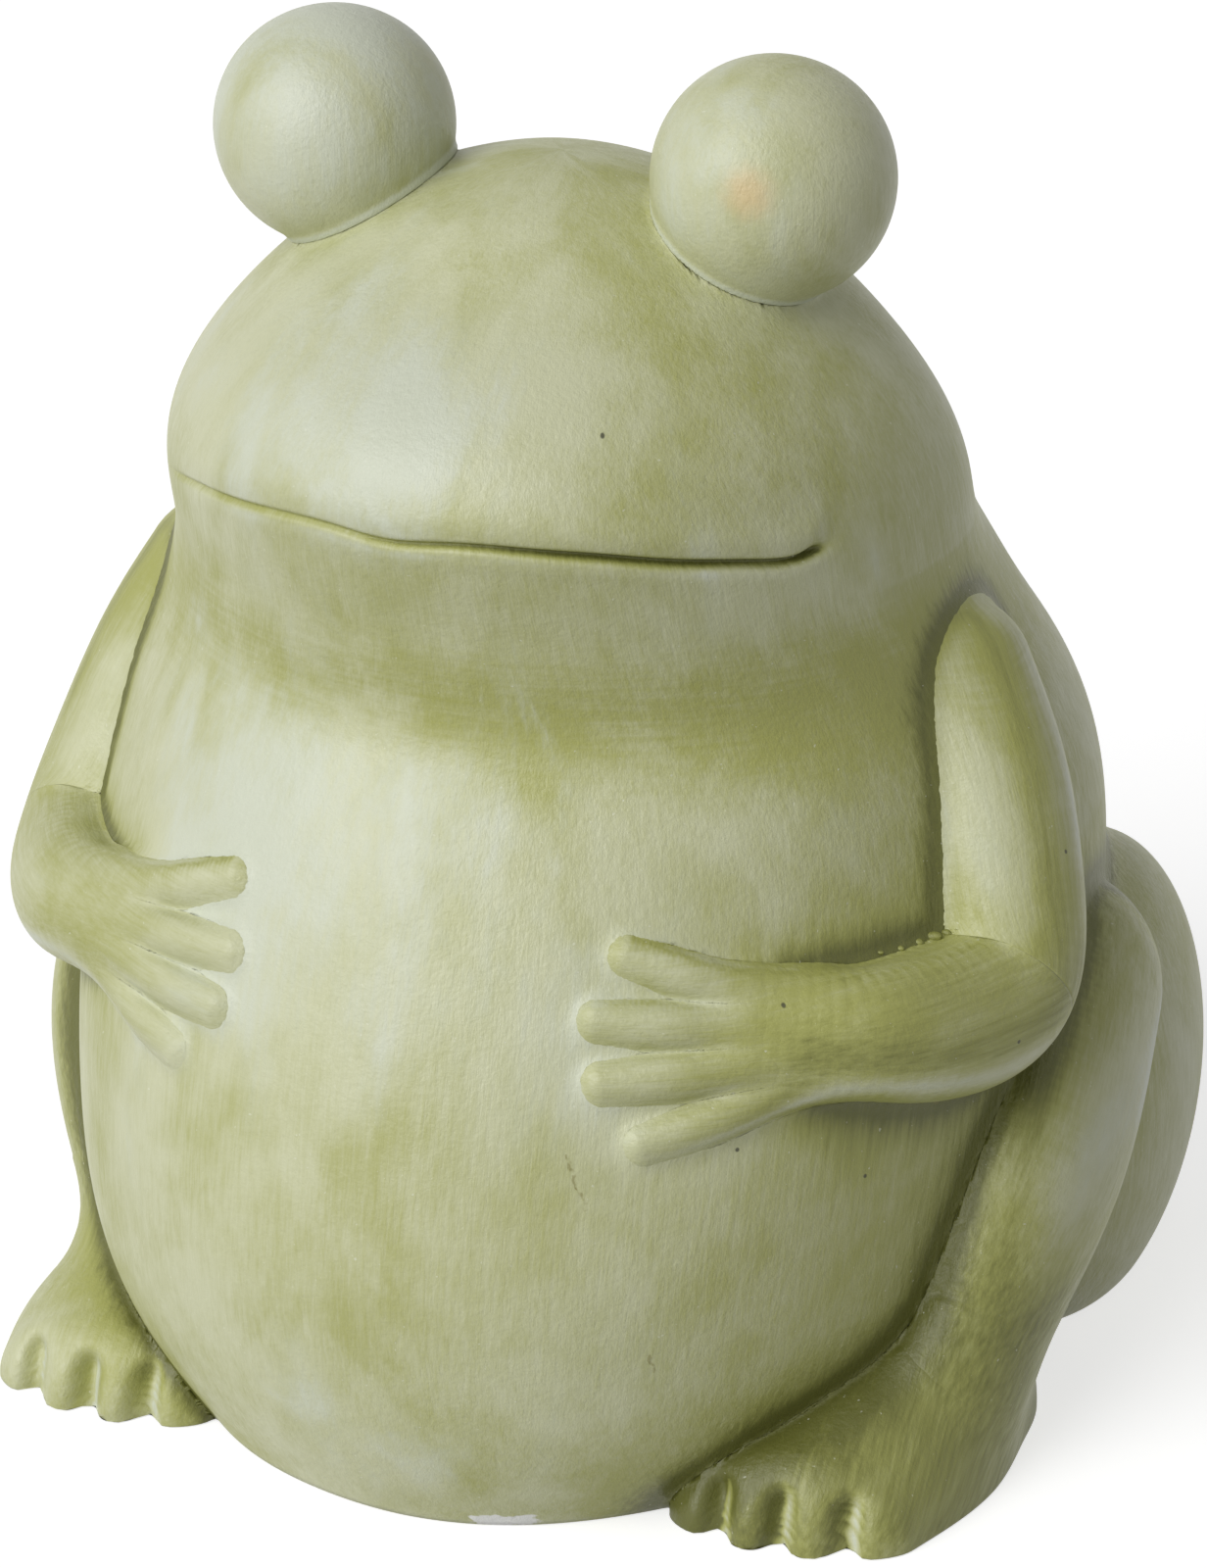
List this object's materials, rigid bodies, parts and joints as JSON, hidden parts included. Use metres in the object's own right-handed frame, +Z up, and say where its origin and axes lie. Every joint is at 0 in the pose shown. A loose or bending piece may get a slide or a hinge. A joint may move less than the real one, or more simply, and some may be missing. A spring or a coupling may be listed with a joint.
{
  "type": "frog figurine",
  "caption": "Seated frog figurine with ball eyes, a wide closed mouth and hands resting on a round belly; a hollow cast ornament that stands on its open base and feet.",
  "frame": {"origin": "on the floor, under the middle of the figure's box", "axes": "+Z up, the frog faces -Y and its own left side is +X"},
  "size_m": [0.2533, 0.2519, 0.2994],
  "materials": {
    "washed_cast": "satin, pale casting with a brushed yellow-green wash"
  },
  "bodies": {
    "root": {"body_shell": "washed_cast", "left_eye": "washed_cast", "right_eye": "washed_cast", "left_upper_arm": "washed_cast", "right_upper_arm": "washed_cast", "left_forearm": "washed_cast", "right_forearm": "washed_cast", "left_haunch": "washed_cast", "right_haunch": "washed_cast", "left_shin": "washed_cast", "right_shin": "washed_cast", "left_foot": "washed_cast", "right_foot": "washed_cast"}
  },
  "joints": []
}
